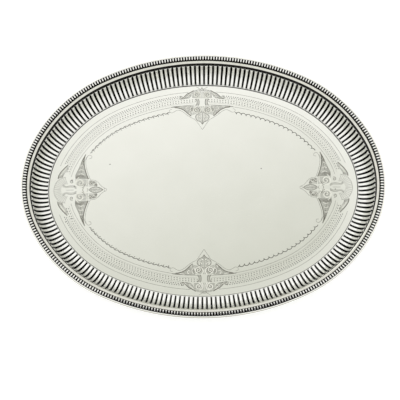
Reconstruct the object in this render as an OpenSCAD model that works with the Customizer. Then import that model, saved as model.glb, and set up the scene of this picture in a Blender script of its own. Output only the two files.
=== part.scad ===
// Oval silver salver: an engraved flat inside a raised border of stamped
// lobes, edged by a plain fillet wire, a beaded wire and a plain edge wire.
// Every piece is a soldered part of its own, and nothing moves.
// The origin is the centre of the underside, +X the long axis, +Z up.

/* [Overall] */
// Length over the border, along X
overall_l = 460; // [380:1:620]
// Width over the border, along Y
overall_w = 344; // [290:1:420]

/* [Flat] */
// Thickness of the flat sheet
flat_t = 1.4; // [1:0.1:2.2]

/* [Lobed border] */
// Thickness of the border's sheet under the grooves
border_t = 1.2; // [0.8:0.1:2]
// Height of the lobes above the grooves
lobe_h = 1.6; // [0.8:0.1:2.2]
// Width of each groove between two lobes
groove_w = 1.4; // [0.8:0.1:2]
// Plain margin between the flat's edge and the grooves
margin_w = 1.8; // [1:0.1:4]
// Radius of the cove at the foot of the border
cove_r = 17; // [12:0.5:22]
// Radius of the wall above the cove
wall_r = 24; // [18:0.5:32]
// Height of the straight neck above the wall
neck_h = 5; // [4:0.1:8]
// Gap between the heads of the lobes and the fillet wire
head_gap = 0.6; // [0.3:0.1:1.5]
// Number of lobes on each of the six border lengths
lobes_each = 33; // [20:1:36]

/* [Rim wires] */
// Width of the fillet wire along its seat
fillet_w = 6; // [4:0.1:8]
// Height of the fillet wire above its seat
fillet_h = 2.4; // [1.5:0.1:3.5]
// Width of the beads across the rim
bead_w = 4.2; // [3:0.1:4.6]
// Gap between two beads
bead_gap = 1.1; // [0.6:0.1:1.6]
// Width of the strip that carries the beads
bead_strip_w = 4.8; // [3.6:0.1:6]
// Thickness of the strip that carries the beads
bead_strip_t = 1; // [0.6:0.1:2]
// Number of beads on each of the four bead wires
beads_each = 88; // [60:1:90]
// Width of the edge wire along its seat
edge_w = 2.6; // [2:0.1:5]
// Height of the edge wire above its seat
edge_h = 1.8; // [1.2:0.1:3]

/* [Hidden] */
$fn = 96;

border_lengths = 6;
fillet_lengths = 2;
bead_lengths = 4;
edge_lengths = 2;

// Section of the border, as [offset from the crease, height]. The groove floor
// runs from the foot round the cove, up the wall and up the straight neck.
cove_turn = 50;
wall_turn = 82;
foot = [margin_w, border_t];
cove_c = foot + [0, cove_r];
cove_end = cove_c + cove_r * [sin(cove_turn), -cos(cove_turn)];
wall_c = cove_end + wall_r * [-sin(cove_turn), cos(cove_turn)];
wall_end = wall_c + wall_r * [sin(wall_turn), -cos(wall_turn)];
neck_dir = [cos(wall_turn), sin(wall_turn)];
neck_in = [-sin(wall_turn), cos(wall_turn)];

// The cove and the wall at the height d above the groove floor, and the point
// of the neck at the height n up from the wall.
function wall_line(d) = concat(
    [for (i = [0:6]) let (a = cove_turn * i / 6)
        cove_c + (cove_r - d) * [sin(a), -cos(a)]],
    [for (i = [1:4]) let (a = cove_turn + (wall_turn - cove_turn) * i / 4)
        wall_c + (wall_r - d) * [sin(a), -cos(a)]]);
function neck_at(n, d) = wall_end + n * neck_dir + d * neck_in;
function back(v) = [for (i = [len(v) - 1:-1:0]) v[i]];

// The lobes rise from the flat's edge in a bullnose and end in round heads.
lobe_rise = border_t + lobe_h - flat_t;
lobe_nose = [for (a = [0:30:60]) [margin_w * (1 - cos(a)), flat_t + lobe_rise * sin(a)]];
head_0 = neck_h - head_gap - lobe_h;
lobe_head = [for (a = [0:30:90]) neck_at(head_0 + lobe_h * sin(a), lobe_h * cos(a))];

// The sheet turns out at the top of the neck: first the steep seat of the
// fillet wire, then the flatter seat of the bead wire and the edge wire.
fillet_slope = 51;
rim_slope = 10;
fillet_dir = [cos(fillet_slope), sin(fillet_slope)];
rim_dir = [cos(rim_slope), sin(rim_slope)];
rim_up = [-sin(rim_slope), cos(rim_slope)];
seat_0 = neck_at(neck_h, 0);
seat_1 = seat_0 + fillet_w * fillet_dir;
seat_2 = seat_1 + bead_strip_w * rim_dir;
seat_3 = seat_2 + edge_w * rim_dir;
lip_end = seat_3 - border_t * rim_up;
border_w = lip_end.x;
// The underside at a bend between the slopes a and b, mitred.
function under(p, a, b) = p + border_t / cos((a - b) / 2)
    * [sin((a + b) / 2), -cos((a + b) / 2)];

// The crease between flat and border is an oval of tangent arcs, three radii
// in each quadrant, so that every line around the rim is offset from it and
// stays concentric. Directions are given by the angle of the oval's normal.
crease_a = overall_l / 2 - border_w;
crease_b = overall_w / 2 - border_w;
end_turn = 27.5;
side_turn = 65;
shoulder_r = 0.925 * sqrt(crease_a * crease_b);
// The end and side radii follow from closing the quadrant on both axes.
rest_x = crease_a - shoulder_r * (cos(end_turn) - cos(side_turn));
rest_y = crease_b - shoulder_r * (sin(side_turn) - sin(end_turn));
scale_xy = (1 - cos(end_turn)) * (1 - sin(side_turn)) - cos(side_turn) * sin(end_turn);
end_r = (rest_x * (1 - sin(side_turn)) - rest_y * cos(side_turn)) / scale_xy;
side_r = (rest_y * (1 - cos(end_turn)) - rest_x * sin(end_turn)) / scale_xy;
end_c = [crease_a - end_r, 0];
shoulder_c = end_c + (end_r - shoulder_r) * [cos(end_turn), sin(end_turn)];
side_c = [0, crease_b - side_r];

// Each arc as [first normal angle, last normal angle, centre, radius].
function flip(c, sx, sy) = [c.x * sx, c.y * sy];
ARCS = [
    [-end_turn, end_turn, end_c, end_r],
    [end_turn, side_turn, shoulder_c, shoulder_r],
    [side_turn, 180 - side_turn, side_c, side_r],
    [180 - side_turn, 180 - end_turn, flip(shoulder_c, -1, 1), shoulder_r],
    [180 - end_turn, 180 + end_turn, flip(end_c, -1, 1), end_r],
    [180 + end_turn, 180 + side_turn, flip(shoulder_c, -1, -1), shoulder_r],
    [180 + side_turn, 360 - side_turn, flip(side_c, 1, -1), side_r],
    [360 - side_turn, 360 - end_turn, flip(shoulder_c, 1, -1), shoulder_r],
    [360 - end_turn, 360 + end_turn, end_c, end_r]
];

// Length of the line at the offset u, from normal angle 0 to the angle a, and
// the normal angle at the share f of the whole way round that line, in whole
// thousandths of a degree.
function sum(v, i = 0) = i < len(v) ? v[i] + sum(v, i + 1) : 0;
function length_to(a, u) = sum([for (arc = ARCS)
    max(0, min(a, arc[1]) - max(0, arc[0])) * (arc[3] + u) * PI / 180]);
function angle_at(f, u, lo = 0, hi = 360, n = 26) =
    n == 0 ? round((lo + hi) * 500) / 1000 :
    length_to((lo + hi) / 2, u) < f * length_to(360, u)
        ? angle_at(f, u, (lo + hi) / 2, hi, n - 1)
        : angle_at(f, u, lo, (lo + hi) / 2, n - 1);
function arc_at(a) = [for (arc = ARCS) if (a >= arc[0] && a < arc[1]) arc][0];
function point_at(a, u) = arc_at(a)[2] + (arc_at(a)[3] + u) * [cos(a), sin(a)];

// Lobes and beads are spaced evenly along their own lines.
lobe_u = (margin_w + seat_0.x) / 2;
lobes = border_lengths * lobes_each;
beads = bead_lengths * beads_each;
bead_u = seat_1.x + bead_strip_w / 2 * rim_dir.x;
// The gaps between the beads reach this far into the strip.
bead_sink = 0.2 * bead_strip_t;
// The flat's edge is carried round as a band this wide, and its field is a
// plain plate that ends in the middle of the band.
edge_band = 10;

// Moves in two steps, first by whole hundredths and then by the rest, so that
// neighbouring arcs keep enough digits to meet exactly.
module shift(v) {
    whole = [for (x = v) round(x * 100) / 100];
    translate(whole)
        translate(v - whole)
            children();
}

// A section, drawn as [offset, height], carried round between two shares of
// the way round the line at the offset u.
module carry(from, to, u) {
    a0 = angle_at(from, u);
    a1 = angle_at(to, u);
    for (arc = ARCS) {
        first = max(a0, arc[0]);
        last = min(a1, arc[1]);
        if (last - first > 0.001)
            shift(arc[2])
                rotate_extrude(angle = last - first, start = first)
                    shift([arc[3], 0])
                        children();
    }
}

// Stands its children at a share f of the way round the line at the offset u:
// their x runs outward from the crease, their y up and their z along it.
module stand_at(f, u) {
    a = angle_at(f, u);
    arc = arc_at(a);
    translate(arc[2])
        rotate(a)
            translate([arc[3], 0])
                rotate([90, 0, 0])
                    children();
}

// A half-round wire lying on a seat that starts at p with the given slope.
module half_round(p, slope, w, h) {
    translate(p)
        rotate(slope)
            polygon([for (a = [0:15:180]) [w / 2 * (1 - cos(a)), h * sin(a)]]);
}

// Engraved sheet, with an upright edge all round that the border butts on: a
// band along the edge, and the field inside it.
module flat_sheet() {
    color("gainsboro") {
        carry(0, 1, 0)
            translate([-edge_band, 0])
                square([edge_band, flat_t]);
        linear_extrude(flat_t)
            polygon([for (a = [0:10:350]) point_at(a, -edge_band / 2)]);
    }
}

// Section of the border before its grooves are sunk.
module border_section() {
    polygon(concat(
        [[0, 0]], lobe_nose, wall_line(lobe_h), lobe_head,
        [seat_0, seat_1, seat_3, lip_end],
        [under(seat_1, fillet_slope, rim_slope), under(seat_0, wall_turn, fillet_slope)],
        back(wall_line(-border_t))));
}

// One of the six stamped lengths of the border, from seam to seam. A seam runs
// down the middle of a groove.
module lobed_border(k) {
    color("silver")
        difference() {
            carry(k / border_lengths, (k + 1) / border_lengths, lobe_u)
                border_section();
            for (i = [0:lobes_each])
                stand_at((k * lobes_each + i) / lobes, lobe_u)
                    linear_extrude(groove_w, center = true)
                        polygon(concat(wall_line(0), [seat_0, neck_at(neck_h, lobe_h + 1)],
                            back(wall_line(lobe_h + 1))));
        }
}

// Plain half-round wire above the heads of the lobes.
module fillet_wire(k) {
    color("gainsboro")
        carry(k / fillet_lengths, (k + 1) / fillet_lengths, lobe_u)
            half_round(seat_0, fillet_slope, fillet_w, fillet_h);
}

// Draws its children on the bead wire's seat: x runs along the seat.
module on_bead_seat() {
    translate(seat_1)
        rotate(rim_slope)
            children();
}

// Strip with a row of beads, cut from a round ridge as a beading wheel cuts it.
module bead_wire(k) {
    color("silver")
        difference() {
            carry(k / bead_lengths, (k + 1) / bead_lengths, bead_u)
                on_bead_seat() {
                    square([bead_strip_w, bead_strip_t]);
                    intersection() {
                        translate([bead_strip_w / 2, bead_strip_t])
                            circle(d = bead_w);
                        translate([0, bead_strip_t / 2])
                            square(bead_strip_w);
                    }
                }
            for (i = [0:beads_each])
                stand_at((k * beads_each + i) / beads, bead_u)
                    linear_extrude(bead_gap, center = true)
                        on_bead_seat()
                            translate([-1, bead_strip_t - bead_sink])
                                square([bead_strip_w + 2, bead_w]);
        }
}

// Plain half-round wire that finishes the border's lip.
module edge_wire(k) {
    color("gainsboro")
        carry(k / edge_lengths, (k + 1) / edge_lengths, lobe_u)
            half_round(seat_2, rim_slope, edge_w, edge_h);
}

flat_sheet();
lobed_border(0);  // lobed_border_1
lobed_border(1);  // lobed_border_2
lobed_border(2);  // lobed_border_3
lobed_border(3);  // lobed_border_4
lobed_border(4);  // lobed_border_5
lobed_border(5);  // lobed_border_6
fillet_wire(0);  // fillet_wire_1
fillet_wire(1);  // fillet_wire_2
bead_wire(0);  // bead_wire_1
bead_wire(1);  // bead_wire_2
bead_wire(2);  // bead_wire_3
bead_wire(3);  // bead_wire_4
edge_wire(0);  // edge_wire_1
edge_wire(1);  // edge_wire_2
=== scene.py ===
from math import cos, pi, radians, sin, sqrt

import bmesh
import bpy
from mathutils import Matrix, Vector


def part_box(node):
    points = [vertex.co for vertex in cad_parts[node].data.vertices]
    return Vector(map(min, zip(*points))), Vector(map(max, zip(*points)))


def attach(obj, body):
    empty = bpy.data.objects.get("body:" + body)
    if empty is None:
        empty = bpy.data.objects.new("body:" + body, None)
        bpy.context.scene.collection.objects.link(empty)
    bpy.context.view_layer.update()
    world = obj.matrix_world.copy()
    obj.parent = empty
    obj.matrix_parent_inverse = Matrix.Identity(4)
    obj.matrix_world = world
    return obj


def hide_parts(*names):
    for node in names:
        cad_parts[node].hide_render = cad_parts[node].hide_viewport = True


# ---------------------------------------------------------------- Frame and view
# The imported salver: an oval flat, a struck border of lobes and three rim wires,
# seen by a long lens from above and a little in front.
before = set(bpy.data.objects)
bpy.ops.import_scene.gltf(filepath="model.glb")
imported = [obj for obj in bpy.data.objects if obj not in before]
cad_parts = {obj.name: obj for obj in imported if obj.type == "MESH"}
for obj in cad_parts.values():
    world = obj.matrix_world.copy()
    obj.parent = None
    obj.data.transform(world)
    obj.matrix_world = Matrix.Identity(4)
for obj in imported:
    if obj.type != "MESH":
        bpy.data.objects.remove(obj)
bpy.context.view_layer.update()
scene = bpy.context.scene
scene.view_settings.view_transform = "Standard"

MM = 0.001
VIEW_TILT = radians(15.2)
VIEW_TURN = radians(0.69)
VIEW_DISTANCE = 1.517
LENS = 106.5
SHIFT_X, SHIFT_Y = -0.0081, -0.0286

flat_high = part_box("flat_sheet")[1]
camera = bpy.data.objects.new("camera", bpy.data.cameras.new("camera"))
scene.collection.objects.link(camera)
scene.camera = camera
camera.data.lens = LENS
camera.data.shift_x = SHIFT_X
camera.data.shift_y = SHIFT_Y
camera.rotation_euler = (VIEW_TILT, 0, -VIEW_TURN)
camera.location = Vector((0, 0, flat_high.z)) + VIEW_DISTANCE * Vector((
    -sin(VIEW_TILT) * sin(VIEW_TURN),
    -sin(VIEW_TILT) * cos(VIEW_TURN),
    cos(VIEW_TILT),
))


# ---------------------------------------------------------------- Flat sheet
# The tray's flat is rolled sterling silver sheet, hand polished after engraving.
# Years of wiping leave it satin, with fine scratches and a faint warm bloom.
BLOOM_SIZE = 40 * MM
BLOOM_SHARE = 0.14
SCRATCH_SIZE = 0.4 * MM
SCRATCH_DEPTH, SCRATCH_STRENGTH = 0.02 * MM, 0.04
SCRATCH_TURN = 0.3
SCRATCH_STRETCH = 0.08
SATIN_FROM, SATIN_TO = 0.24, 0.36
# Painted shade and painted reflection across the flat: where it falls and how much.
LIGHT_MARGIN_FROM, LIGHT_MARGIN_TO = 0.84, 0.99
MARGIN_LIGHT_MIDDLE, MARGIN_LIGHT_X = -0.1, -0.2
SHADE_MIDDLE, SHADE_X, SHADE_Y = 0.36, 0.16, -0.33


def linear(code):
    """An sRGB hex colour as the linear colour that shaders take."""
    parts = [int(code[i:i + 2], 16) / 255 for i in (0, 2, 4)]
    parts = [p / 12.92 if p <= 0.04045 else ((p + 0.055) / 1.055) ** 2.4 for p in parts]
    return (*parts, 1)


def add(tree, kind, inputs=(), **settings):
    """Adds a node with its settings. An input takes a value, a node or (node, output)."""
    new = tree.nodes.new(kind)
    for name, value in settings.items():
        setattr(new, name, value)
    for name, value in dict(inputs).items():
        if isinstance(value, bpy.types.Node):
            value = next(s for s in value.outputs if s.enabled)
        elif isinstance(value, tuple) and isinstance(value[0], bpy.types.Node):
            value = value[0].outputs[value[1]]
        if isinstance(value, bpy.types.NodeSocket):
            tree.links.new(value, new.inputs[name])
        else:
            new.inputs[name].default_value = value
    return new


def metal(name, roughness):
    """A new metal finish: its material, its tree and its shader."""
    finish = bpy.data.materials.new(name)
    finish.use_nodes = True
    shader = finish.node_tree.nodes["Principled BSDF"]
    shader.inputs["Metallic"].default_value = 1
    shader.inputs["Roughness"].default_value = roughness
    return finish, finish.node_tree, shader


def worn_and_shaded_sheet():
    """Satin sterling with wiping scratches and a faint warm bloom.

    Painted shade darkens it towards +X and -Y, and near the border a painted
    reflection shifts it, lighter towards +X.
    Real scratches are finer: these are as coarse as they need to be to show.
    """
    finish, tree, shader = metal("worn_shaded_sterling_sheet", 0.3)
    place = add(tree, "ShaderNodeTexCoord")
    bloom = add(tree, "ShaderNodeTexNoise", {
        "Vector": (place, "Object"), "Scale": 1 / BLOOM_SIZE, "Detail": 2})
    oval = add(tree, "ShaderNodeVectorMath", {
        0: (place, "Object"), 1: (1 / flat_high.x, 1 / flat_high.y, 0)},
        operation="MULTIPLY")
    from_middle = add(tree, "ShaderNodeVectorMath", {0: oval}, operation="LENGTH")
    # Painted shade and painted reflection: the colour is darkened towards +X and -Y and shifted
    # lighter near the border towards +X, standing in for how the flat reflects the studio.
    near_border = add(tree, "ShaderNodeMapRange", {
        "Value": (from_middle, "Value"), "From Min": LIGHT_MARGIN_FROM, "From Max": LIGHT_MARGIN_TO},
        interpolation_type="SMOOTHSTEP")
    side = add(tree, "ShaderNodeSeparateXYZ", {0: oval})
    margin_light = add(tree, "ShaderNodeMath", {0: (side, "X"), 1: MARGIN_LIGHT_X, 2: MARGIN_LIGHT_MIDDLE},
                 operation="MULTIPLY_ADD")
    across = add(tree, "ShaderNodeMath", {0: (side, "X"), 1: SHADE_X, 2: SHADE_MIDDLE},
                 operation="MULTIPLY_ADD")
    film = add(tree, "ShaderNodeMath", {0: (side, "Y"), 1: SHADE_Y, 2: across},
               operation="MULTIPLY_ADD")
    painted_tone = add(tree, "ShaderNodeMath", {0: margin_light, 1: near_border, 2: film},
                  operation="MULTIPLY_ADD")
    tone_and_bloom = add(tree, "ShaderNodeMath", {0: (bloom, "Fac"), 1: BLOOM_SHARE, 2: painted_tone},
                 operation="MULTIPLY_ADD")
    colour = add(tree, "ShaderNodeMix", {
        0: tone_and_bloom, 6: linear("F9F9F1"), 7: linear("C3C5B6")}, data_type="RGBA")
    along = add(tree, "ShaderNodeMapping", {
        "Vector": (place, "Object"), "Scale": (SCRATCH_STRETCH, 1, 1),
        "Rotation": (0, 0, SCRATCH_TURN)})
    scratches = add(tree, "ShaderNodeTexNoise", {
        "Vector": along, "Scale": 1 / SCRATCH_SIZE, "Detail": 3})
    rough = add(tree, "ShaderNodeMapRange", {
        "Value": (scratches, "Fac"), "To Min": SATIN_FROM, "To Max": SATIN_TO})
    bump = add(tree, "ShaderNodeBump", {
        "Height": (scratches, "Fac"), "Strength": SCRATCH_STRENGTH,
        "Distance": SCRATCH_DEPTH})
    tree.links.new(colour.outputs[2], shader.inputs["Base Color"])
    tree.links.new(rough.outputs[0], shader.inputs["Roughness"])
    tree.links.new(bump.outputs[0], shader.inputs["Normal"])
    return finish


def refinish(node, finish):
    """Gives a CAD piece its finish."""
    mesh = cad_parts[node].data
    mesh.materials.clear()
    mesh.materials.append(finish)


refinish("flat_sheet", worn_and_shaded_sheet())

# ---------------------------------------------------------------- Lobed border
# Six lengths of sterling strip, struck in a steel die into lobes with grooves
# between them, bent to the oval and soldered end to end. The grooves are oxidised.
LOBES = 198
BORDER_LENGTHS = 6
BORDER_T = 1.2 * MM
FLAT_T = flat_high.z
LOBE_H = 1.6 * MM
MARGIN = 1.8 * MM
COVE_R = 17 * MM
WALL_R = 24 * MM
NECK_H = 5 * MM
FILLET_W = 6 * MM
STRIP_W = 4.8 * MM
EDGE_W = 2.57 * MM
HEAD_GAP = 1.2 * MM
GROOVE_SHARE = 0.28
LOBE_STEPS = 10
NECK_SOIL, HEAD_SOIL, HEAD_BELOW = 0.55, 1.15, 0.75
NOSE_SHARE = 0.6
NOSE_SOIL = {20: 1.2, 45: 0.85, 70: 0.2}
GRIME_SIZE = 1.5 * MM
GRIME_SHARE = 0.3
BLACK_FROM, BLACK_TO = 0.55, 0.75
OUTWARD_SHADE_FROM, OUTWARD_SHADE_TO = 0.5, 0.2
UNDERSIDE_SHADE_FROM, UNDERSIDE_SHADE_TO = 0.0, -0.25
SOOT_ROUGHNESS = 0.6
NEAR_FADE_FROM, NEAR_FADE_TO, NEAR_FADE = -0.1, -0.15, 0.38
SHARP_EDGE = radians(42)
COVE_TURN, WALL_TURN = radians(50), radians(82)
FILLET_SLOPE, RIM_SLOPE = radians(51), radians(10)
END_TURN, SIDE_TURN = radians(27.5), radians(65)
SHOULDER = 0.925


def rim_arcs(a, b):
    """The crease as tangent arcs from +X round: (centre, radius, first and last turn)."""
    shoulder_r = SHOULDER * sqrt(a * b)
    rest_x = a - shoulder_r * (cos(END_TURN) - cos(SIDE_TURN))
    rest_y = b - shoulder_r * (sin(SIDE_TURN) - sin(END_TURN))
    ends, sides = 1 - cos(END_TURN), 1 - sin(SIDE_TURN)
    share = ends * sides - cos(SIDE_TURN) * sin(END_TURN)
    end_r = (rest_x * sides - rest_y * cos(SIDE_TURN)) / share
    side_r = (rest_y * ends - rest_x * sin(END_TURN)) / share
    end_c = Vector((a - end_r, 0, 0))
    shoulder_c = end_c + (end_r - shoulder_r) * Vector((cos(END_TURN), sin(END_TURN), 0))
    side_c = Vector((0, b - side_r, 0))
    quarter = [(end_c, end_r, 0, END_TURN), (shoulder_c, shoulder_r, END_TURN, SIDE_TURN),
               (side_c, side_r, SIDE_TURN, pi / 2)]
    half = quarter + [
        (Vector((-c.x, c.y, 0)), r, pi - last, pi - first)
        for c, r, first, last in reversed(quarter)]
    return half + [
        (Vector((-c.x, -c.y, 0)), r, first + pi, last + pi) for c, r, first, last in half]


RIM = rim_arcs(flat_high.x, flat_high.y)


def on_rim(share, offset):
    """The crease's point and the outward turn at a share of the way round the offset line."""
    left = share % 1 * sum((last - first) * (r + offset) for _, r, first, last in RIM)
    for centre, r, first, last in RIM:
        length = (last - first) * (r + offset)
        if left <= length:
            break
        left -= length
    turn = first + left / (r + offset)
    return centre + r * Vector((cos(turn), sin(turn), 0)), turn


def polar(centre, r, turn):
    """The point of a section's arc, with turn measured from straight down."""
    return centre + r * Vector((sin(turn), -cos(turn)))


foot = Vector((MARGIN, BORDER_T))
cove_c = foot + Vector((0, COVE_R))
cove_end = polar(cove_c, COVE_R, COVE_TURN)
wall_c = cove_end - WALL_R * Vector((sin(COVE_TURN), -cos(COVE_TURN)))
wall_end = polar(wall_c, WALL_R, WALL_TURN)
neck_dir = Vector((cos(WALL_TURN), sin(WALL_TURN)))
seat_0 = wall_end + NECK_H * neck_dir
seat_1 = seat_0 + FILLET_W * Vector((cos(FILLET_SLOPE), sin(FILLET_SLOPE)))
rim_dir = Vector((cos(RIM_SLOPE), sin(RIM_SLOPE)))
seat_2 = seat_1 + STRIP_W * rim_dir
seat_3 = seat_2 + EDGE_W * rim_dir
lobe_line = (MARGIN + seat_0.x) / 2


def plain(point, soil=0):
    """A section point where nothing rises: its place, rise, spread and soil."""
    return (point, Vector((0, 0)), 1, soil)


def ribbed(centre, r, turn, spread, sink=1, soil=1):
    """A section point under the lobes, whose grooves are sunk from the crown by a share."""
    floor = polar(centre, r, turn)
    rise = LOBE_H * Vector((-sin(turn), cos(turn)))
    return (floor + rise * (1 - sink), rise * sink, spread, soil)


def on_neck(up, height, spread):
    """A section point of the straight neck, with the lobes at a share of their height."""
    rise = LOBE_H * height * Vector((-sin(WALL_TURN), cos(WALL_TURN)))
    soil = HEAD_SOIL if height < HEAD_BELOW else NECK_SOIL
    return (wall_end + up * neck_dir, rise, spread, soil)


def under(point, a, b):
    """The sheet's underside below a bend between two slopes."""
    middle = (a + b) / 2
    return point + BORDER_T / cos((a - b) / 2) * Vector((sin(middle), -cos(middle)))


def foot_nose(turn):
    """A point of the bullnose in which the lobes rise from the flat."""
    return Vector((NOSE_SHARE * MARGIN * (1 - cos(turn)),
                   FLAT_T + (BORDER_T + LOBE_H - FLAT_T) * sin(turn)))


head_from = NECK_H - HEAD_GAP - LOBE_H
border_section = (
    [plain(Vector((0, 0))), plain(Vector((0, FLAT_T)), NOSE_SOIL[20])]
    + [plain(foot_nose(radians(a)), soil) for a, soil in NOSE_SOIL.items()]
    + [ribbed(cove_c, COVE_R, radians(-3), 1.25, 0, 0),
       ribbed(cove_c, COVE_R, radians(-2), 1.1, 0.6),
       ribbed(cove_c, COVE_R, radians(2), 1.05)]
    + [ribbed(cove_c, COVE_R, radians(a), 1.05 - a / 400) for a in (12, 22, 34, 46)]
    + [ribbed(wall_c, WALL_R, radians(a), 0.92) for a in (54, 62, 72, 82)]
    + [on_neck(head_from + LOBE_H * y, sqrt(1 - y * y), sqrt(1 - y * y))
       for y in (0, 0.4, 0.7, 0.9, 0.99)]
    + [(seat_0, Vector((0, 0)), 1, 1)]
    + [plain(seat_1), plain(seat_3)]
    + [plain(seat_3 + BORDER_T * Vector((sin(RIM_SLOPE), -cos(RIM_SLOPE)))),
       plain(under(seat_1, FILLET_SLOPE, RIM_SLOPE)),
       plain(under(seat_0, WALL_TURN, FILLET_SLOPE))]
    + [plain(polar(wall_c, WALL_R + BORDER_T, radians(a))) for a in (82, 70, 58)]
    + [plain(polar(cove_c, COVE_R + BORDER_T, radians(a))) for a in (48, 36, 24, 12, 0)]
)


def line_mesh(name, rows, closed, **values):
    """A mesh of rows of joined points, with a named value at each point."""
    mesh = bpy.data.meshes.new(name)
    joins, first = [], 0
    for row in rows:
        count = len(row)
        joins += [(first + i, first + (i + 1) % count)
                  for i in range(count if closed else count - 1)]
        first += count
    mesh.from_pydata([point for row in rows for point in row], joins, [])
    for key, row in values.items():
        if isinstance(row[0], Vector):
            data = mesh.attributes.new(key, "FLOAT_VECTOR", "POINT").data
            data.foreach_set("vector", [x for v in row for x in v])
        else:
            mesh.attributes.new(key, "FLOAT", "POINT").data.foreach_set("value", row)
    thing = bpy.data.objects.new(name, mesh)
    scene.collection.objects.link(thing)
    return thing


def section_line(name, rows):
    """A closed section, drawn as offset and height, for carrying round the rim."""
    flat = [Vector((p.x, p.y, 0)) for p, _, _, _ in rows]
    return line_mesh(
        name, [flat], True,
        place=[Vector((p.x, 0, p.y)) for p, _, _, _ in rows],
        rise=[Vector((r.x, 0, r.y)) for _, r, _, _ in rows],
        spread=[s for _, _, s, _ in rows],
        soil=[s for _, _, _, s in rows])


def start_tree(name, inputs):
    """A new Geometry Nodes tree with its named inputs, and the node that gives them."""
    tree = bpy.data.node_groups.new(name, "GeometryNodeTree")
    socket = tree.interface.new_socket
    for key, kind in {"Geometry": "Geometry", **inputs, "Finish": "Material"}.items():
        socket(key, in_out="INPUT", socket_type="NodeSocket" + kind)
    socket("Geometry", in_out="OUTPUT", socket_type="NodeSocketGeometry")
    return tree, add(tree, "NodeGroupInput")


def end_tree(tree, given, result):
    """Gives a tree's result the chosen finish and hands it out."""
    finished = add(tree, "GeometryNodeSetMaterial", {
        "Geometry": result, "Material": (given, "Finish")})
    add(tree, "NodeGroupOutput", {"Geometry": finished})
    return tree


def carry_tree():
    """Carries a section round the rim and swells lobes out of it between the grooves."""
    tree, given = start_tree("carry_round_rim", {
        "Section": "Object", "Half width of a lobe": "Float", "Height of a lobe": "Float"})
    named = {
        name: add(tree, "GeometryNodeInputNamedAttribute", {"Name": name}, data_type=kind)
        for kind, names in {
            "FLOAT_VECTOR": ("place", "rise", "start"),
            "FLOAT": ("spread", "soil", "turn", "swell", "side")}.items()
        for name in names}
    path = add(tree, "GeometryNodeMeshToCurve", {"Mesh": (given, "Geometry")})
    drawn = add(tree, "GeometryNodeObjectInfo", {"Object": (given, "Section")})
    section = add(tree, "GeometryNodeMeshToCurve", {"Mesh": (drawn, "Geometry")})
    swept = add(tree, "GeometryNodeCurveToMesh", {
        "Curve": path, "Profile Curve": section, "Fill Caps": True})
    raised = add(tree, "ShaderNodeVectorMath", {
        0: named["rise"], "Scale": named["swell"]}, operation="SCALE")
    local = add(tree, "ShaderNodeVectorMath", {0: raised, 1: named["place"]})
    wider = add(tree, "ShaderNodeMath", {0: named["spread"], 1: 1.0}, operation="SUBTRACT")
    sideways = add(tree, "ShaderNodeMath", {0: wider, 1: named["side"]}, operation="MULTIPLY")
    shifted = add(tree, "ShaderNodeMath", {
        0: sideways, 1: (given, "Half width of a lobe")}, operation="MULTIPLY")
    shift = add(tree, "ShaderNodeCombineXYZ", {"Y": shifted})
    whole = add(tree, "ShaderNodeVectorMath", {0: local, 1: shift})
    turned = add(tree, "ShaderNodeVectorRotate", {
        "Vector": whole, "Angle": named["turn"]}, rotation_type="Z_AXIS")
    placed = add(tree, "ShaderNodeVectorMath", {0: turned, 1: named["start"]})
    shaped = add(tree, "GeometryNodeSetPosition", {"Geometry": swept, "Position": placed})
    lifted = add(tree, "ShaderNodeVectorMath", {0: raised}, operation="LENGTH")
    share = add(tree, "ShaderNodeMath", {
        0: (lifted, "Value"), 1: (given, "Height of a lobe")}, operation="DIVIDE")
    hidden = add(tree, "ShaderNodeMath", {0: named["soil"], 1: share}, operation="SUBTRACT")
    kept = add(tree, "ShaderNodeMath", {0: hidden, 1: 0.0}, operation="MAXIMUM")
    stored = add(tree, "GeometryNodeStoreNamedAttribute", {
        "Geometry": shaped, "Name": "tarnish", "Value": kept}, data_type="FLOAT")
    real = add(tree, "GeometryNodeRealizeInstances", {"Geometry": stored})
    return end_tree(tree, given, real)


def made_by(tree, name, path, **inputs):
    """Runs a Geometry Nodes tree on a path and keeps the result as a plain mesh piece."""
    work = path.modifiers.new("work", "NODES")
    work.node_group = tree
    sockets = {s.name: s.identifier for s in tree.interface.items_tree
               if s.in_out == "INPUT"}
    for key, value in inputs.items():
        work[sockets[key.replace("_", " ")]] = value
    seen = path.evaluated_get(bpy.context.evaluated_depsgraph_get())
    mesh = bpy.data.meshes.new_from_object(seen)
    shell = bmesh.new()
    shell.from_mesh(mesh)
    if shell.calc_volume(signed=True) < 0:
        bmesh.ops.reverse_faces(shell, faces=shell.faces)
    shell.to_mesh(mesh)
    shell.free()
    mesh.shade_smooth()
    mesh.set_sharp_from_angle(angle=SHARP_EDGE)
    piece = bpy.data.objects.new(name, mesh)
    scene.collection.objects.link(piece)
    bpy.data.objects.remove(path)
    return piece


def fit(piece, node):
    """Sets a made piece in place of its CAD piece."""
    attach(piece, "root")
    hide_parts(node)


def lobe_path(first, last):
    """The rim from seam to seam, with the points of each lobe closest at its flanks."""
    steps = [(first, 0, 0)]
    for lobe in range(first, last):
        for k in range(LOBE_STEPS):
            turn = pi * k / (LOBE_STEPS - 1)
            side = -cos(turn)
            steps.append((lobe + 0.5 + (1 - GROOVE_SHARE) / 2 * side, sin(turn), side))
    steps.append((last, 0, 0))
    spots = [on_rim(at / LOBES if at < LOBES else 0, lobe_line) for at, _, _ in steps]
    return line_mesh(
        "lobe_path", [[spot for spot, _ in spots]], False,
        start=[spot for spot, _ in spots],
        turn=[turn for _, turn in spots],
        swell=[swell for _, swell, _ in steps],
        side=[side for _, _, side in steps])


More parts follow.
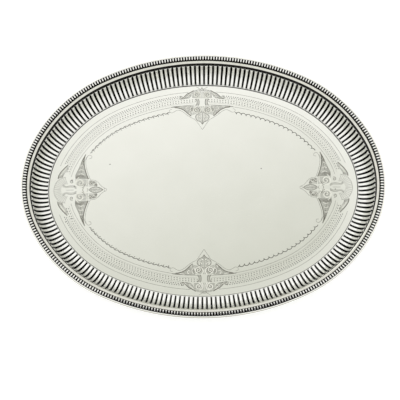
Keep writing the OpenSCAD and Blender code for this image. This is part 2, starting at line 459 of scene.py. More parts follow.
def struck_silver(name, roughness, outward_shade):
    """Bright struck sterling, black with sulphide in the grooves, with painted shade
    on faces that turn downwards.

    Less of the black is left towards -Y. There, faces that do not turn inward get
    painted shade, as much as the outward shade asks.
    """
    finish, tree, shader = metal(name, roughness)
    place = add(tree, "ShaderNodeTexCoord")
    tarnish = add(tree, "ShaderNodeAttribute", attribute_name="tarnish")
    grime = add(tree, "ShaderNodeTexNoise", {
        "Vector": (place, "Object"), "Scale": 1 / GRIME_SIZE, "Detail": 2})
    rough_edge = add(tree, "ShaderNodeMath", {
        0: (grime, "Fac"), 1: GRIME_SHARE, 2: (tarnish, "Fac")}, operation="MULTIPLY_ADD")
    where = add(tree, "ShaderNodeSeparateXYZ", {0: (place, "Object")})
    # Less of the black is left towards -Y.
    near_mask = add(tree, "ShaderNodeMapRange", {
        "Value": (where, "Y"), "From Min": NEAR_FADE_FROM, "From Max": NEAR_FADE_TO,
        "To Max": NEAR_FADE})
    left = add(tree, "ShaderNodeMath", {0: rough_edge, 1: near_mask}, operation="SUBTRACT")
    shape = add(tree, "ShaderNodeNewGeometry")
    facing = add(tree, "ShaderNodeSeparateXYZ", {0: (shape, "Normal")})
    # Painted shade: towards -Y, faces not turned inward are blackened, by as much as the
    # outward shade gives.
    outward = add(tree, "ShaderNodeMapRange", {
        "Value": (facing, "Y"), "From Min": OUTWARD_SHADE_FROM, "From Max": OUTWARD_SHADE_TO,
        "To Max": outward_shade})
    # The soot value holds both the sulphide in the grooves and this painted shade.
    soot = add(tree, "ShaderNodeMath", {0: outward, 1: near_mask, 2: left},
               operation="MULTIPLY_ADD")
    black = add(tree, "ShaderNodeMapRange", {
        "Value": soot, "From Min": BLACK_FROM, "From Max": BLACK_TO})
    # Painted shade: faces turned downwards are mixed towards a grey copy of the clean colour.
    back = add(tree, "ShaderNodeMapRange", {
        "Value": (facing, "Z"), "From Min": UNDERSIDE_SHADE_FROM, "From Max": UNDERSIDE_SHADE_TO})
    clean = add(tree, "ShaderNodeMix", {
        0: back, 6: linear("FAFAF5"), 7: linear("B4B5AA")}, data_type="RGBA")
    colour = add(tree, "ShaderNodeMix", {
        0: black, 6: (clean, 2), 7: linear("0A0907")}, data_type="RGBA")
    rough = add(tree, "ShaderNodeMapRange", {
        "Value": black, "To Min": roughness, "To Max": SOOT_ROUGHNESS})
    tree.links.new(colour.outputs[2], shader.inputs["Base Color"])
    tree.links.new(rough.outputs[0], shader.inputs["Roughness"])
    return finish


carry = carry_tree()
border_line = section_line("border_section", border_section)
border_finish = struck_silver("struck_oxidised_shaded_sterling", 0.32, 0)
rim_length = sum((last - first) * (r + lobe_line) for _, r, first, last in RIM)
half_lobe = rim_length / LOBES * (1 - GROOVE_SHARE) / 2
lobes_each = LOBES // BORDER_LENGTHS
for k in range(BORDER_LENGTHS):
    border = made_by(
        carry, f"struck_border_{k + 1}", lobe_path(k * lobes_each, (k + 1) * lobes_each),
        Section=border_line, Finish=border_finish,
        Half_width_of_a_lobe=half_lobe, Height_of_a_lobe=LOBE_H)
    fit(border, f"lobed_border_{k + 1}")

# ---------------------------------------------------------------- Fillet wire
# Plain half-round wire, drawn through a die and soldered above the heads of the
# lobes in two bent lengths. Its colours are a greyer copy of the edge wire's, as
# painted shade, under a thin film that comes and goes, with soil at its foot.
FILLET_H = 2.4 * MM
FILLET_SOIL = (0.55, 0.02)
EDGE_OF_SOIL, SOIL_RISE = 0.8, 8
WIRE_SIDES = 18
WIRE_LENGTHS = 2
PLAIN_STEP = 2 * MM
FILM_SIZE = 6 * MM
NEAR_SOIL_FROM, NEAR_SOIL_TO, NEAR_SOIL_LEFT = -0.08, -0.16, 0.15
NEAR_SHADE_FROM, NEAR_SHADE_TO = -0.03, -0.17
STEEP_FROM, STEEP_TO = 0.97, 0.6
SOILED_FROM, SOILED_TO = 0.55, 1.1


def half_round(start, slope, width, height, inner=0.04, outer=0):
    """Section of a half-round wire on a seat, with soil over a share of it at both sides."""
    along = Vector((cos(slope), sin(slope)))
    up = Vector((-sin(slope), cos(slope)))
    section = []
    for a in (pi * i / WIRE_SIDES for i in range(WIRE_SIDES + 1)):
        across = (1 - cos(a)) / 2
        soil = max(EDGE_OF_SOIL + SOIL_RISE * max(inner - across, outer - 1 + across), 0)
        section.append(plain(start + width * across * along + height * sin(a) * up, soil))
    return section


def plain_path(first, last):
    """The rim between two shares of the way round, in even steps. A whole turn is a ring."""
    ring = last - first == 1
    count = round((last - first) * rim_length / PLAIN_STEP)
    shares = [first + (last - first) * i / count for i in range(count if ring else count + 1)]
    spots = [on_rim(share if share < 1 else 0, lobe_line) for share in shares]
    none = [0.0] * len(spots)
    return line_mesh(
        "plain_path", [[spot for spot, _ in spots]], ring,
        start=[spot for spot, _ in spots], turn=[turn for _, turn in spots],
        swell=none, side=none)


def drawn_silver(name, clean, filmed, flank_shade):
    """Drawn sterling wire, bright, filmed in places and black where it is soiled.

    Along -Y its steep flanks get painted shade, and most of the soil is left off.
    """
    finish, tree, shader = metal(name, 0.25)
    place = add(tree, "ShaderNodeTexCoord")
    film = add(tree, "ShaderNodeTexNoise", {
        "Vector": (place, "Object"), "Scale": 1 / FILM_SIZE, "Detail": 3})
    colour = add(tree, "ShaderNodeMix", {
        0: (film, "Fac"), 6: linear(clean), 7: linear(filmed)}, data_type="RGBA")
    where = add(tree, "ShaderNodeSeparateXYZ", {0: (place, "Object")})
    tarnish = add(tree, "ShaderNodeAttribute", attribute_name="tarnish")
    # Less of the soil is kept towards -Y.
    near_soil_share = add(tree, "ShaderNodeMapRange", {
        "Value": (where, "Y"), "From Min": NEAR_SOIL_FROM, "From Max": NEAR_SOIL_TO,
        "To Min": 1.0, "To Max": NEAR_SOIL_LEFT})
    soot = add(tree, "ShaderNodeMath", {0: (tarnish, "Fac"), 1: near_soil_share},
               operation="MULTIPLY")
    black = add(tree, "ShaderNodeMapRange", {
        "Value": soot, "From Min": SOILED_FROM, "From Max": SOILED_TO})
    near = add(tree, "ShaderNodeMapRange", {
        "Value": (where, "Y"), "From Min": NEAR_SHADE_FROM, "From Max": NEAR_SHADE_TO})
    shape = add(tree, "ShaderNodeNewGeometry")
    facing = add(tree, "ShaderNodeSeparateXYZ", {0: (shape, "Normal")})
    flank = add(tree, "ShaderNodeMapRange", {
        "Value": (facing, "Z"), "From Min": STEEP_FROM, "From Max": STEEP_TO})
    near_mask = add(tree, "ShaderNodeMath", {0: near, 1: flank}, operation="MULTIPLY")
    # Painted shade on the steep flanks towards -Y.
    dulled = add(tree, "ShaderNodeMix", {
        0: near_mask, 6: (colour, 2), 7: linear(flank_shade)}, data_type="RGBA")
    soiled = add(tree, "ShaderNodeMix", {
        0: black, 6: (dulled, 2), 7: linear("0F0E0B")}, data_type="RGBA")
    tree.links.new(soiled.outputs[2], shader.inputs["Base Color"])
    return finish


fillet_finish = drawn_silver("drawn_sterling_fillet", "EBEAE0", "CFCEC3", "CCCBC0")
fillet_line = section_line(
    "fillet_section", half_round(seat_0, FILLET_SLOPE, FILLET_W, FILLET_H, *FILLET_SOIL))
for k in range(WIRE_LENGTHS):
    fillet = made_by(
        carry, f"drawn_fillet_{k + 1}", plain_path(k / WIRE_LENGTHS, (k + 1) / WIRE_LENGTHS),
        Section=fillet_line, Finish=fillet_finish, Height_of_a_lobe=LOBE_H)
    fit(fillet, f"fillet_wire_{k + 1}")

# ---------------------------------------------------------------- Beaded wire
# A strip rolled under a beading wheel, which leaves a row of oval beads with
# oxidised gaps between them. It is soldered on in four lengths of 88 beads.
BEADS_EACH = 88
BEAD_LENGTHS = 4
STRIP_T = 0.4 * MM
BEAD_W = 4.9 * MM
BEAD_L = 2.3 * MM
BEAD_TOP = 2.85 * MM
BEAD_OUT = 0.55 * MM
BEAD_SIDES = 10
FOOT_SOOT, SOOT_FALL, TIP_SOOT = 1.3, 1.7, 0.35
bead_line = seat_1.x + STRIP_W / 2 * rim_dir.x
rim_up = Vector((-sin(RIM_SLOPE), cos(RIM_SLOPE)))


def bead_path(first, last):
    """The rim under a length of beads: a point in each gap and one under each bead."""
    halves = range(2 * first, 2 * last + 1)
    beads = BEADS_EACH * BEAD_LENGTHS
    spots = [on_rim(h / 2 / beads if h < 2 * beads else 0, bead_line) for h in halves]
    none = [0.0] * len(spots)
    return line_mesh(
        "bead_path", [[spot for spot, _ in spots]], False,
        start=[spot for spot, _ in spots], turn=[turn for _, turn in spots],
        swell=none, side=none, bead=[float(h % 2) for h in halves])


def bead_dome():
    """One bead: a steep-sided oval dome, sooty at its foot and bright on its crown."""
    rings = [(0, 1), (0.45, 0.98), (0.78, 0.9), (0.95, 0.66)]
    points, soot, faces = [], [], []
    for up, wide in rings:
        for k in range(BEAD_SIDES):
            turn = 2 * pi * k / BEAD_SIDES
            points.append((BEAD_W / 2 * wide * cos(turn), BEAD_L / 2 * wide * sin(turn),
                           BEAD_TOP * up))
            soot.append(max(0, FOOT_SOOT - (SOOT_FALL - TIP_SOOT * abs(sin(turn))) * up))
    points.append((0, 0, BEAD_TOP))
    soot.append(0)
    for ring in range(len(rings) - 1):
        for k in range(BEAD_SIDES):
            a, b = ring * BEAD_SIDES + k, ring * BEAD_SIDES + (k + 1) % BEAD_SIDES
            faces.append((a, b, b + BEAD_SIDES, a + BEAD_SIDES))
    last = (len(rings) - 1) * BEAD_SIDES
    faces += [(last + k, last + (k + 1) % BEAD_SIDES, len(points) - 1)
              for k in range(BEAD_SIDES)]
    faces.append(tuple(reversed(range(BEAD_SIDES))))
    mesh = bpy.data.meshes.new("bead_dome")
    mesh.from_pydata(points, [], faces)
    mesh.attributes.new("tarnish", "FLOAT", "POINT").data.foreach_set("value", soot)
    dome = bpy.data.objects.new("bead_dome", mesh)
    scene.collection.objects.link(dome)
    return dome


def bead_tree():
    """Carries the strip round the rim and sets a bead on each marked point."""
    tree, given = start_tree("beaded_strip", {
        "Section": "Object", "Bead": "Object", "Bead place": "Vector", "Bead slope": "Float"})
    strip = add(tree, "GeometryNodeGroup", node_tree=carry)
    for name in ("Geometry", "Section", "Finish"):
        tree.links.new(given.outputs[name], strip.inputs[name])
    strip.inputs["Height of a lobe"].default_value = 1
    dome = add(tree, "GeometryNodeObjectInfo", {"Object": (given, "Bead")})
    turn = add(tree, "GeometryNodeInputNamedAttribute", {"Name": "turn"}, data_type="FLOAT")
    bead = add(tree, "GeometryNodeInputNamedAttribute", {"Name": "bead"}, data_type="FLOAT")
    outward = add(tree, "ShaderNodeVectorRotate", {
        "Vector": (given, "Bead place"), "Angle": (turn, "Attribute")},
        rotation_type="Z_AXIS")
    moved = add(tree, "GeometryNodeSetPosition", {
        "Geometry": (given, "Geometry"), "Offset": outward})
    falling = add(tree, "ShaderNodeMath", {0: (given, "Bead slope"), 1: -1.0},
                  operation="MULTIPLY")
    facing = add(tree, "ShaderNodeCombineXYZ", {"Y": falling, "Z": (turn, "Attribute")})
    row = add(tree, "GeometryNodeInstanceOnPoints", {
        "Points": moved, "Selection": (bead, "Attribute"), "Instance": (dome, "Geometry"),
        "Rotation": facing})
    real = add(tree, "GeometryNodeRealizeInstances", {"Geometry": row})
    joined = add(tree, "GeometryNodeJoinGeometry")
    tree.links.new(strip.outputs[0], joined.inputs[0])
    tree.links.new(real.outputs[0], joined.inputs[0])
    return end_tree(tree, given, joined)


def strip_point(along, up):
    """A sooty point of the bead strip's section, along and above its seat."""
    return plain(seat_1 + along * rim_dir + up * rim_up, 1)


strip_line = section_line("strip_section", [
    strip_point(0, 0), strip_point(0, STRIP_T), strip_point(STRIP_W, STRIP_T),
    strip_point(STRIP_W, 0)])
bead_seat = seat_1 + (STRIP_W / 2 + BEAD_OUT) * rim_dir
beading = bead_tree()
# The beads take painted shade on their outward faces towards -Y.
bead_finish = struck_silver("beaded_oxidised_shaded_sterling", 0.17, 2.35)
dome = bead_dome()
for k in range(BEAD_LENGTHS):
    beads = made_by(
        beading, f"beading_{k + 1}", bead_path(k * BEADS_EACH, (k + 1) * BEADS_EACH),
        Section=strip_line, Finish=bead_finish, Bead=dome,
        Bead_place=(bead_seat.x, 0, bead_seat.y), Bead_slope=RIM_SLOPE)
    fit(beads, f"bead_wire_{k + 1}")

# ---------------------------------------------------------------- Edge wire
# A smaller half-round wire, drawn from the same sterling, that finishes the lip.
# It is soldered on in two bent lengths. Its colours are painted lighter than the
# fillet's, as painted light, and its flanks towards -Y get painted shade.
EDGE_H = 1.8 * MM
edge_line = section_line("edge_section", half_round(seat_2, RIM_SLOPE, EDGE_W, EDGE_H))
edge_finish = drawn_silver("drawn_sterling_edge", "FDFDF9", "EDECE3", "A09F92")
for k in range(WIRE_LENGTHS):
    edge = made_by(
        carry, f"drawn_edge_{k + 1}", plain_path(k / WIRE_LENGTHS, (k + 1) / WIRE_LENGTHS),
        Section=edge_line, Finish=edge_finish, Height_of_a_lobe=LOBE_H)
    fit(edge, f"edge_wire_{k + 1}")

# ---------------------------------------------------------------- Crease seam
# The border is soldered to the flat's edge. The seam shows as a thin dark crease,
# which comes and goes where the solder ran full or short.
SEAM_W = 0.4 * MM
SEAM_H = 0.06 * MM
RUN_SIZE = 4 * MM
RUNS_FROM, RUNS_TO = 0.35, 0.55


def seam_solder():
    """Grey solder, dulled and blackened in runs a few millimetres long."""
    finish, tree, shader = metal("dulled_solder", 0.5)
    place = add(tree, "ShaderNodeTexCoord")
    runs = add(tree, "ShaderNodeTexNoise", {
        "Vector": (place, "Object"), "Scale": 1 / RUN_SIZE, "Detail": 3})
    dark = add(tree, "ShaderNodeMapRange", {
        "Value": (runs, "Fac"), "From Min": RUNS_FROM, "From Max": RUNS_TO})
    colour = add(tree, "ShaderNodeMix", {
        0: dark, 6: linear("1C1B17"), 7: linear("66665C")}, data_type="RGBA")
    tree.links.new(colour.outputs[2], shader.inputs["Base Color"])
    return finish


seam_line = section_line("seam_section", [
    plain(Vector((-SEAM_W * a, FLAT_T + SEAM_H * b)))
    for a, b in ((1, 0), (0.7, 0.8), (0.3, 1), (-0.1, 1), (-0.1, -1), (1, -1))])
seam = made_by(
    carry, "crease_solder", plain_path(0, 1),
    Section=seam_line, Finish=seam_solder(), Height_of_a_lobe=LOBE_H)
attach(seam, "root")

# ---------------------------------------------------------------- Engraving
# Cut by hand with a graver: bands round the flat, a scalloped line inside them,
# and four cartouches of scrolls and leaves. The middle is left plain. Each cut is
# made as a low ridge, coloured with the residue in it and the painted shade of its
# facets, and stands on the sheet.
CUT_RELIEF = 0.15
CUT_STEP = 0.8 * MM
RESIDUE_SIZE = 3 * MM
DOT_H = 0.06 * MM
SCROLL_POINTS = 9
SCROLL_EYE = 0.85


def cut_silver(name, dark, light):
    """Graver cuts in two tones: old polishing paste and soot left in them, with painted shade
    of their facets.
    """
    finish, tree, shader = metal(name, 0.42)
    place = add(tree, "ShaderNodeTexCoord")
    residue = add(tree, "ShaderNodeTexNoise", {
        "Vector": (place, "Object"), "Scale": 1 / RESIDUE_SIZE, "Detail": 2})
    colour = add(tree, "ShaderNodeMix", {
        0: (residue, "Fac"), 6: linear(dark), 7: linear(light)}, data_type="RGBA")
    tree.links.new(colour.outputs[2], shader.inputs["Base Color"])
    return finish


def cutting_tree():
    """Smooths rows of points into curves and lays a low ridge of their width on each."""
    tree, given = start_tree("cut_lines", {"Relief": "Float", "Step": "Float"})
    rows = add(tree, "GeometryNodeMeshToCurve", {"Mesh": (given, "Geometry")})
    smooth = add(tree, "GeometryNodeCurveSplineType", {"Curve": rows},
                 spline_type="CATMULL_ROM")
    even = add(tree, "GeometryNodeResampleCurve", {
        "Curve": smooth, "Length": (given, "Step")}, mode="LENGTH")
    width = add(tree, "GeometryNodeInputNamedAttribute", {"Name": "width"},
                data_type="FLOAT")
    half = add(tree, "ShaderNodeMath", {0: (width, "Attribute"), 1: 0.5},
               operation="MULTIPLY")
    upright = add(tree, "GeometryNodeSetCurveNormal", {"Curve": even}, mode="Z_UP")
    ring = add(tree, "GeometryNodeCurvePrimitiveCircle", {"Resolution": 4, "Radius": 1.0})
    flatter = add(tree, "ShaderNodeCombineXYZ", {
        "X": 1.0, "Y": (given, "Relief"), "Z": 1.0})
    lozenge = add(tree, "GeometryNodeTransform", {
        "Geometry": (ring, "Curve"), "Scale": flatter})
    cut = add(tree, "GeometryNodeCurveToMesh", {
        "Curve": upright, "Profile Curve": lozenge, "Scale": half, "Fill Caps": True})
    real = add(tree, "GeometryNodeRealizeInstances", {"Geometry": cut})
    return end_tree(tree, given, real)


def dotting_tree():
    """Sets a small punched dot at even steps along rows of points."""
    tree, given = start_tree("punched_dots", {
        "Pitch": "Float", "Dot length": "Float", "Dot width": "Float"})
    rows = add(tree, "GeometryNodeMeshToCurve", {"Mesh": (given, "Geometry")})
    tangent = add(tree, "GeometryNodeInputTangent")
    kept = add(tree, "GeometryNodeStoreNamedAttribute", {
        "Geometry": rows, "Name": "along", "Value": tangent}, data_type="FLOAT_VECTOR")
    spots = add(tree, "GeometryNodeCurveToPoints", {
        "Curve": kept, "Length": (given, "Pitch")}, mode="LENGTH")
    pyramid = add(tree, "GeometryNodeMeshCone", {
        "Vertices": 4, "Radius Bottom": 0.5, "Depth": DOT_H})
    size = add(tree, "ShaderNodeCombineXYZ", {
        "X": (given, "Dot length"), "Y": (given, "Dot width"), "Z": 1.0})
    along = add(tree, "GeometryNodeInputNamedAttribute", {"Name": "along"},
                data_type="FLOAT_VECTOR")
    facing = add(tree, "FunctionNodeAlignRotationToVector", {
        "Vector": (along, "Attribute")}, axis="X")
    dots = add(tree, "GeometryNodeInstanceOnPoints", {
        "Points": (spots, "Points"), "Instance": (pyramid, "Mesh"), "Rotation": facing,
        "Scale": size})
    real = add(tree, "GeometryNodeRealizeInstances", {"Geometry": dots})
    return end_tree(tree, given, real)


def round_flat(offset, step, gap_x, gap_y, wave=None):
    """Rows of points round the flat at an offset, with gaps at the four cartouches."""
    length = sum((last - first) * (r + offset) for _, r, first, last in RIM)
    count = 4 * round(length / step / 4)
    rows, row = [], []
    for i in range(count + 1):
        spot, turn = on_rim(i / count, offset)
        out = offset + (wave(i) if wave else 0)
        point = spot + out * Vector((cos(turn), sin(turn), 0))
        point.z = FLAT_T
        if abs(point.x) > gap_x and abs(point.y) > gap_y:
            row.append(point)
        elif row:
            rows.append(row)
            row = []
    return [row for row in rows if len(row) > 2]


def scroll(x, y, size, turns, start, hand):
    """A scroll that winds in from its outside to its eye."""
    count = round(turns * SCROLL_POINTS)
    points = []
    for i in range(count + 1):
        r = size * (1 - SCROLL_EYE * i / count)
        turn = radians(start) + hand * 2 * pi * turns * i / count
        points.append((x + r * cos(turn), y + r * sin(turn)))
    return points


def part_way(line, t):
    """The point at a share of the way along a row of points."""
    at = t * (len(line) - 1)
    i = min(int(at), len(line) - 2)
    a, b = Vector(line[i]), Vector(line[i + 1])
    return tuple(a + (b - a) * (at - i))


def shading(side_a, side_b, count):
    """Cuts laid side by side between two lines, which read as a grey tone."""
    return [[part_way(side, (i + 0.5) / count) for side in (side_a, side_b)]
            for i in range(count)]


# Half of the cartouche at the middle of each long side: distances across the tray
# and out from its centre, in millimetres, by width of cut.
edge_long = [(0, 79.5), (4.5, 86.2), (9.1, 92.8), (14.1, 95.7), (19.2, 99.1), (25.3, 104),
             (31.3, 106.4), (36, 104.6), (39.4, 102.8), (42.6, 104.2), (42.4, 107),
             (39.8, 107.6)]
wing_top = [(14.6, 98), (19.2, 102), (24.2, 106.4), (30, 109), (36, 110), (40.6, 110.2)]
wing_foot = [(11.6, 111.8), (18, 112), (25, 112), (31, 111.8), (36, 111.4), (40.6, 110.6)]
leaf = [(0, 86.6), (2, 89.6), (3.6, 90.6), (6, 91.6), (8.2, 94.4), (8.8, 97.6), (7, 100.2),
        (4.4, 101.4)]
leaf_rib = [(0, 87), (0.4, 90), (0.6, 92), (0.8, 94), (1, 96), (1.2, 98), (1.2, 100), (1, 102)]
waist = [(8.8, 112.4), (7, 115), (6.8, 118.4), (8.6, 121.8)]
waist_in = [(4.8, 112.4), (4, 115), (4, 118.6), (4.8, 121.8)]
shoulder = [(0, 136.8), (5, 135), (11, 133.2), (15.4, 130.6), (19.4, 128.6), (23.2, 124.8),
            (26.3, 121.9), (30.8, 121.6)]
shoulder_in = [(0, 132.4), (3, 131.8), (8, 132.2), (12.6, 129.4), (14, 125.6), (17, 122.8),
               (22, 122), (28, 121.2)]
long_side = {
    0.95: [wing_top[:5], shoulder[2:7]],
    0.65: [leaf, waist, waist_in, scroll(7.4, 106, 4, 1.8, 250, -1),
           scroll(13.4, 106.8, 2.4, 1.3, 200, -1), scroll(7.4, 127.2, 4.6, 1.9, 260, -1),
           scroll(26.8, 124.2, 2.2, 1.2, 250, 1), [(0, 88), (0, 92), (0, 97), (0, 103)]],
    0.35: [edge_long, wing_foot, [(1.4, 133.6), (3.6, 136), (7.4, 138)],
           [(0, 104), (2.6, 103), (4.4, 101.4)], [(2.6, 94), (4.6, 96.4), (4.2, 99.6)],
           [(15, 125.4), (17.4, 127), (20.4, 126)]]
          + shading(wing_top, wing_foot, 38) + shading(leaf, leaf_rib, 12)
          + shading(waist, waist_in, 10) + shading(shoulder, shoulder_in, 32)
          + shading([(0.4, 102.8), (0.4, 111.4)], [(14.6, 99), (12, 111.4)], 10)
          + shading([(0.4, 122.6), (0.4, 131.6)], [(13, 123), (12.6, 130)], 9),
}

# Half of the cartouche at each end, in the same way: distances along the tray from
# its centre and across it.
edge_end = [(125.4, 1.6), (130, 4.4), (135, 10), (139.6, 12.8), (144.4, 13.6), (147, 19),
            (149.8, 28), (151, 37), (149.8, 43), (147, 46.4), (143.6, 45.4), (143.6, 42.4),
            (146.4, 41.8)]
wing_edge = [(147.2, 14.4), (149.6, 20), (152, 28), (153.2, 36), (153, 42), (151.4, 47.4)]
wing_back = [(163.8, 15), (163.6, 20), (161, 26), (158, 33), (155.4, 40), (151.6, 47.2)]
drop = [(128.4, 0), (132.6, 2.6), (137.4, 3.8), (142.4, 3), (146.4, 0.4)]
plate = [(162.6, 4), (166, 5.6), (171, 5.8), (176, 4.8), (180, 7.4)]
plate_in = [(162.4, 1), (166, 3), (171, 3.2), (175.6, 2.6), (180, 4)]
fan = [(191.4, 0), (190.8, 4.8), (188.8, 9.6), (185.6, 13.4), (181.2, 16), (176.4, 17)]
hub = [(182.6, 0), (182.2, 2.4), (180.8, 4.8), (178.6, 6.6), (176, 7.6), (173.4, 7.8)]
frond = [(173.6, 33.6), (178, 29.4), (182.4, 24.4), (185.6, 19), (186.2, 15)]
frond_in = [(173, 28), (175, 25.6), (177.6, 22.4), (179.4, 19.6), (180, 17.4)]
end_side = {
    1.0: [wing_edge, frond],
    0.65: [drop, scroll(157.8, 8.9, 6.7, 2.1, 190, 1), scroll(141, 8.4, 2.4, 1.4, 0, 1),
           scroll(145, 9.4, 2.6, 1.4, 90, 1), scroll(137.2, 6.2, 1.7, 1.2, 0, 1),
           [(147.6, 0), (149.6, 2.6), (152.2, 3.8), (153.8, 2), (154.6, 0)],
           scroll(168.4, 11, 2.6, 1.3, 120, -1)],
    0.35: [edge_end, wing_back, plate, fan, [(124, 0), (124.6, 1.6), (126.2, 1.8), (127.2, 0)],
           [(150, 44), (153.4, 36), (156, 28), (157.4, 20)], [(131, 0), (145, 0)],
           [(166, 0), (176, 0)]]
          + shading(wing_edge, wing_back, 46) + shading(fan, hub, 9)
          + shading(frond, frond_in, 18) + shading(plate, plate_in, 16)
          + shading(drop, [(129, 0), (134, 0), (139, 0), (143, 0), (146, 0)], 14)
          + shading([(136, 4.4), (140, 4.8), (146, 4.4)],
                    [(137, 10.4), (141, 12), (147, 12.6)], 11)
          + shading([(147.4, 4.4), (147.8, 14)], [(163, 6), (164, 14.4)], 9)
          + shading([(152, 15.8), (158, 17.2), (164, 14)],
                    [(153, 19), (158, 20.4), (163, 18)], 9),
}

# Bands left standing between the cuts, coloured lighter than the sheet as a painted
# highlight, in the same way.
long_bright = {
    1.3: [scroll(7.6, 106.2, 4.2, 1.5, 90, -1), scroll(7.6, 127, 4.6, 1.6, 270, -1),
          [(3.4, 111.6), (1.4, 108), (3.2, 103.4), (7.4, 101.8)],
          [(3.2, 122.2), (1.8, 126), (3.2, 130), (7.4, 131.6)]],
    0.9: [[(14, 111), (15.4, 107), (13.6, 103.6), (11.6, 105), (12.6, 107)],
          [(19.4, 111.2), (21.4, 109), (19.8, 106.6), (17.8, 107.6)],
          [(25, 111.4), (28, 110.6), (31, 110.4)], [(16.4, 103.4), (16.8, 101.6), (15.6, 99.8)],
          [(2.8, 98.4), (4.6, 96.6), (6.4, 97.6), (5.6, 99.4)], [(1.2, 93.6), (2.6, 92)],
          [(13.4, 130.6), (16.4, 127.6), (18.6, 126), (18, 124.4)],
          [(22.4, 124), (25.6, 122)]],
}
end_bright = {
    1.4: [scroll(157.8, 9, 6.2, 1.7, 250, 1)],
    1.1: [[(148.4, 0.4), (150.4, 3.2), (153.2, 3.8), (154.6, 1.6), (155.4, 0.4)],
          [(149.2, 14.6), (149, 9.6), (150.4, 5.6)], [(159.6, 17.2), (162.8, 12.6), (164, 8)]],
    0.9: [[(152.6, 19.6), (156, 21.6), (159.6, 20.6)],
          [(153.8, 26), (156.8, 27.2), (159.4, 25.6)],
          [(154.6, 32.6), (156.8, 33), (158, 31.4)], [(138.6, 9.4), (140.4, 7), (142.4, 8.6)],
          [(143, 10.8), (144.6, 8.4), (146.4, 10.4)],
          [(176.2, 28.4), (180, 24.2), (183, 19.4)]],
}


def all_round(cuts, swap):
    """Repeats half a cartouche on both sides of its axis and at both sides of the tray."""
    rows, widths = [], []
    for width, lines in cuts.items():
        for line in lines:
            on_axis = all(point[swap] == 0 for point in line)
            for across in (1,) if on_axis else (-1, 1):
                for out in (-1, 1):
                    x_way, y_way = (out, across) if swap else (across, out)
                    rows.append([Vector((x * x_way * MM, y * y_way * MM, FLAT_T))
                                 for x, y in line])
                    widths += [width * MM] * len(line)
    return rows, widths


def engrave(name, rows, widths, finish):
    """Lays rows of cuts on the flat as one piece."""
    piece = made_by(
        cutting, name, line_mesh(name + "_path", rows, False, width=widths),
        Relief=CUT_RELIEF, Step=CUT_STEP, Finish=finish)
    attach(piece, "root")


def punch(name, rows, pitch, length, width, finish):
    """Sets rows of punched dots on the flat as one piece."""
    piece = made_by(
        dotting, name, line_mesh(name + "_path", rows, False),
        Pitch=pitch * MM, Dot_length=length * MM, Dot_width=width * MM, Finish=finish)
    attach(piece, "root")


cutting, dotting = cutting_tree(), dotting_tree()
graver_cuts = cut_silver("graver_cut_sterling", "34332B", "8A887C")
sooty_shaded_cuts = cut_silver("punched_sterling", "1C1B16", "4C4B42")
# Painted highlight: the standing bands are coloured lighter than the sheet.
bright_cuts = cut_silver("highlight_cut_sterling", "DDDDD0", "F4F4EA")
engrave("engraved_long_cartouches", *all_round(long_side, False), graver_cuts)
engrave("engraved_end_cartouches", *all_round(end_side, True), graver_cuts)
engrave("burnished_long_scrolls", *all_round(long_bright, False), bright_cuts)
engrave("burnished_end_scrolls", *all_round(end_bright, True), bright_cuts)

# Four plain lines bound the bands: offset from the crease, gaps at the cartouches, width.
BAND_STEP = 3 * MM
band_rows, band_widths = [], []
for offset, gap_x, gap_y, width in (
        (-8.4, 17, 30, 0.35), (-17.2, 27, 34, 0.2), (-23.4, 8, 20, 0.2),
        (-26.4, 9, 16, 0.35)):
    rows = round_flat(offset * MM, BAND_STEP, gap_x * MM, gap_y * MM)
    band_rows += rows
    band_widths += [width * MM] * sum(map(len, rows))
engrave("engraved_band_lines", band_rows, band_widths, graver_cuts)

# A scalloped line, whose cusps carry a small tick that points inward.
SCALLOP = 6.6 * MM
SCALLOP_DEPTH = 1.6 * MM
SCALLOP_POINTS = 8
SCALLOP_GAPS = (42 * MM, 49 * MM)
TICK = 2.4 * MM
SCALLOP_W, TICK_W = 0.75 * MM, 0.7 * MM
cusps = round_flat(-33.4 * MM, SCALLOP, *SCALLOP_GAPS)
scallops = round_flat(
    -32.6 * MM, SCALLOP / SCALLOP_POINTS, *SCALLOP_GAPS,
    lambda i: -SCALLOP_DEPTH * (1 - abs(sin(pi * i / SCALLOP_POINTS))))
ticks = [[spot, spot * (1 - TICK / spot.length)] for row in cusps for spot in row]
for tick in ticks:
    tick[1].z = FLAT_T
engrave("engraved_scallops", scallops + ticks,
        [SCALLOP_W] * sum(map(len, scallops)) + [TICK_W] * 2 * len(ticks), sooty_shaded_cuts)

# Small pits that the sheet took when it was rolled, in millimetres from the middle.
PIT_HALF, PIT_W = 0.6, 1.1
pits = [(-119.8, 33.8), (74.9, 25.9), (-168.4, 12.6), (-165.4, 5.2), (-167.8, -37.6),
        (-175.6, -42), (-190.4, -37), (169.3, -2.7), (0, 136.6)]
engrave("sheet_pits", [
    [Vector((x * MM, (y + end) * MM, FLAT_T)) for end in (-PIT_HALF, PIT_HALF)]
    for x, y in pits], [PIT_W * MM] * 2 * len(pits), sooty_shaded_cuts)

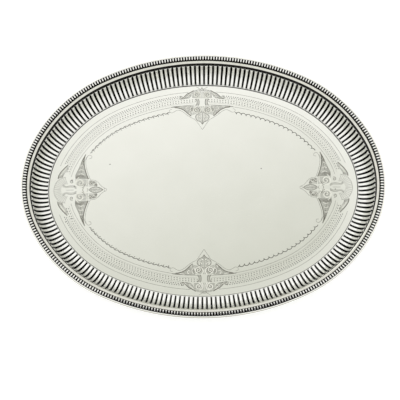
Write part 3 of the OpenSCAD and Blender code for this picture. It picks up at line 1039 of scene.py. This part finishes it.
# Two chains and two rows of beading are punched between the band lines: offset,
# gaps at the cartouches, pitch and length of a dot.
DOT_W = 1.4
DOT_ROW_STEP = 1 * MM
for name, offset, gap_x, gap_y, pitch, length, finish in (
        ("punched_chain_outer", -13, 28, 35, 3, 1.6, sooty_shaded_cuts),
        ("punched_chain_inner", -15, 29.5, 36.5, 3, 1.6, sooty_shaded_cuts),
        ("punched_beading_outer", -19.2, 9, 24, 3.6, 1.7, graver_cuts),
        ("punched_beading_inner", -21.7, 9, 24, 3.6, 1.7, graver_cuts)):
    rows = round_flat(offset * MM, DOT_ROW_STEP, gap_x * MM, gap_y * MM)
    punch(name, rows, pitch, length, DOT_W, finish)

for line in (border_line, fillet_line, strip_line, edge_line, seam_line, dome):
    bpy.data.objects.remove(line)

# ---------------------------------------------------------------- Studio
# A sheet of white paper in a white studio, with one soft lamp behind and to the
# left. None of it belongs to the salver.
FLOOR_HALF = 3
FLOOR_Z = -0.1 * MM
FLOOR_GLOW = 0.38
LAMP_SIZE, LAMP_POWER = 0.7, 1.5
LAMP_PLACE = (-0.9, 1.5, 0.9)

floor_mesh = bpy.data.meshes.new("floor")
floor_mesh.from_pydata(
    [(x * FLOOR_HALF, y * FLOOR_HALF, FLOOR_Z)
     for x, y in ((-1, -1), (1, -1), (1, 1), (-1, 1))], [], [(0, 1, 2, 3)])
floor = bpy.data.objects.new("floor", floor_mesh)
scene.collection.objects.link(floor)


def white_floor():
    """Matt white paper, which gives back enough light of its own to read as white."""
    paper = bpy.data.materials.new("white_paper")
    paper.use_nodes = True
    shader = paper.node_tree.nodes["Principled BSDF"]
    shader.inputs["Base Color"].default_value = linear("F4F4F4")
    shader.inputs["Roughness"].default_value = 0.9
    shader.inputs["Emission Color"].default_value = linear("FFFFFF")
    shader.inputs["Emission Strength"].default_value = FLOOR_GLOW
    return paper


floor_mesh.materials.append(white_floor())

world = bpy.data.worlds.new("studio")
scene.world = world
world.use_nodes = True
world.node_tree.nodes["Background"].inputs["Color"].default_value = (1, 1, 1, 1)
world.node_tree.nodes["Background"].inputs["Strength"].default_value = 1

softbox = bpy.data.objects.new("softbox", bpy.data.lights.new("softbox", "AREA"))
scene.collection.objects.link(softbox)
softbox.data.shape = "DISK"
softbox.data.size = LAMP_SIZE
softbox.data.energy = LAMP_POWER
softbox.location = LAMP_PLACE
softbox.rotation_euler = softbox.location.to_track_quat("Z", "Y").to_euler()
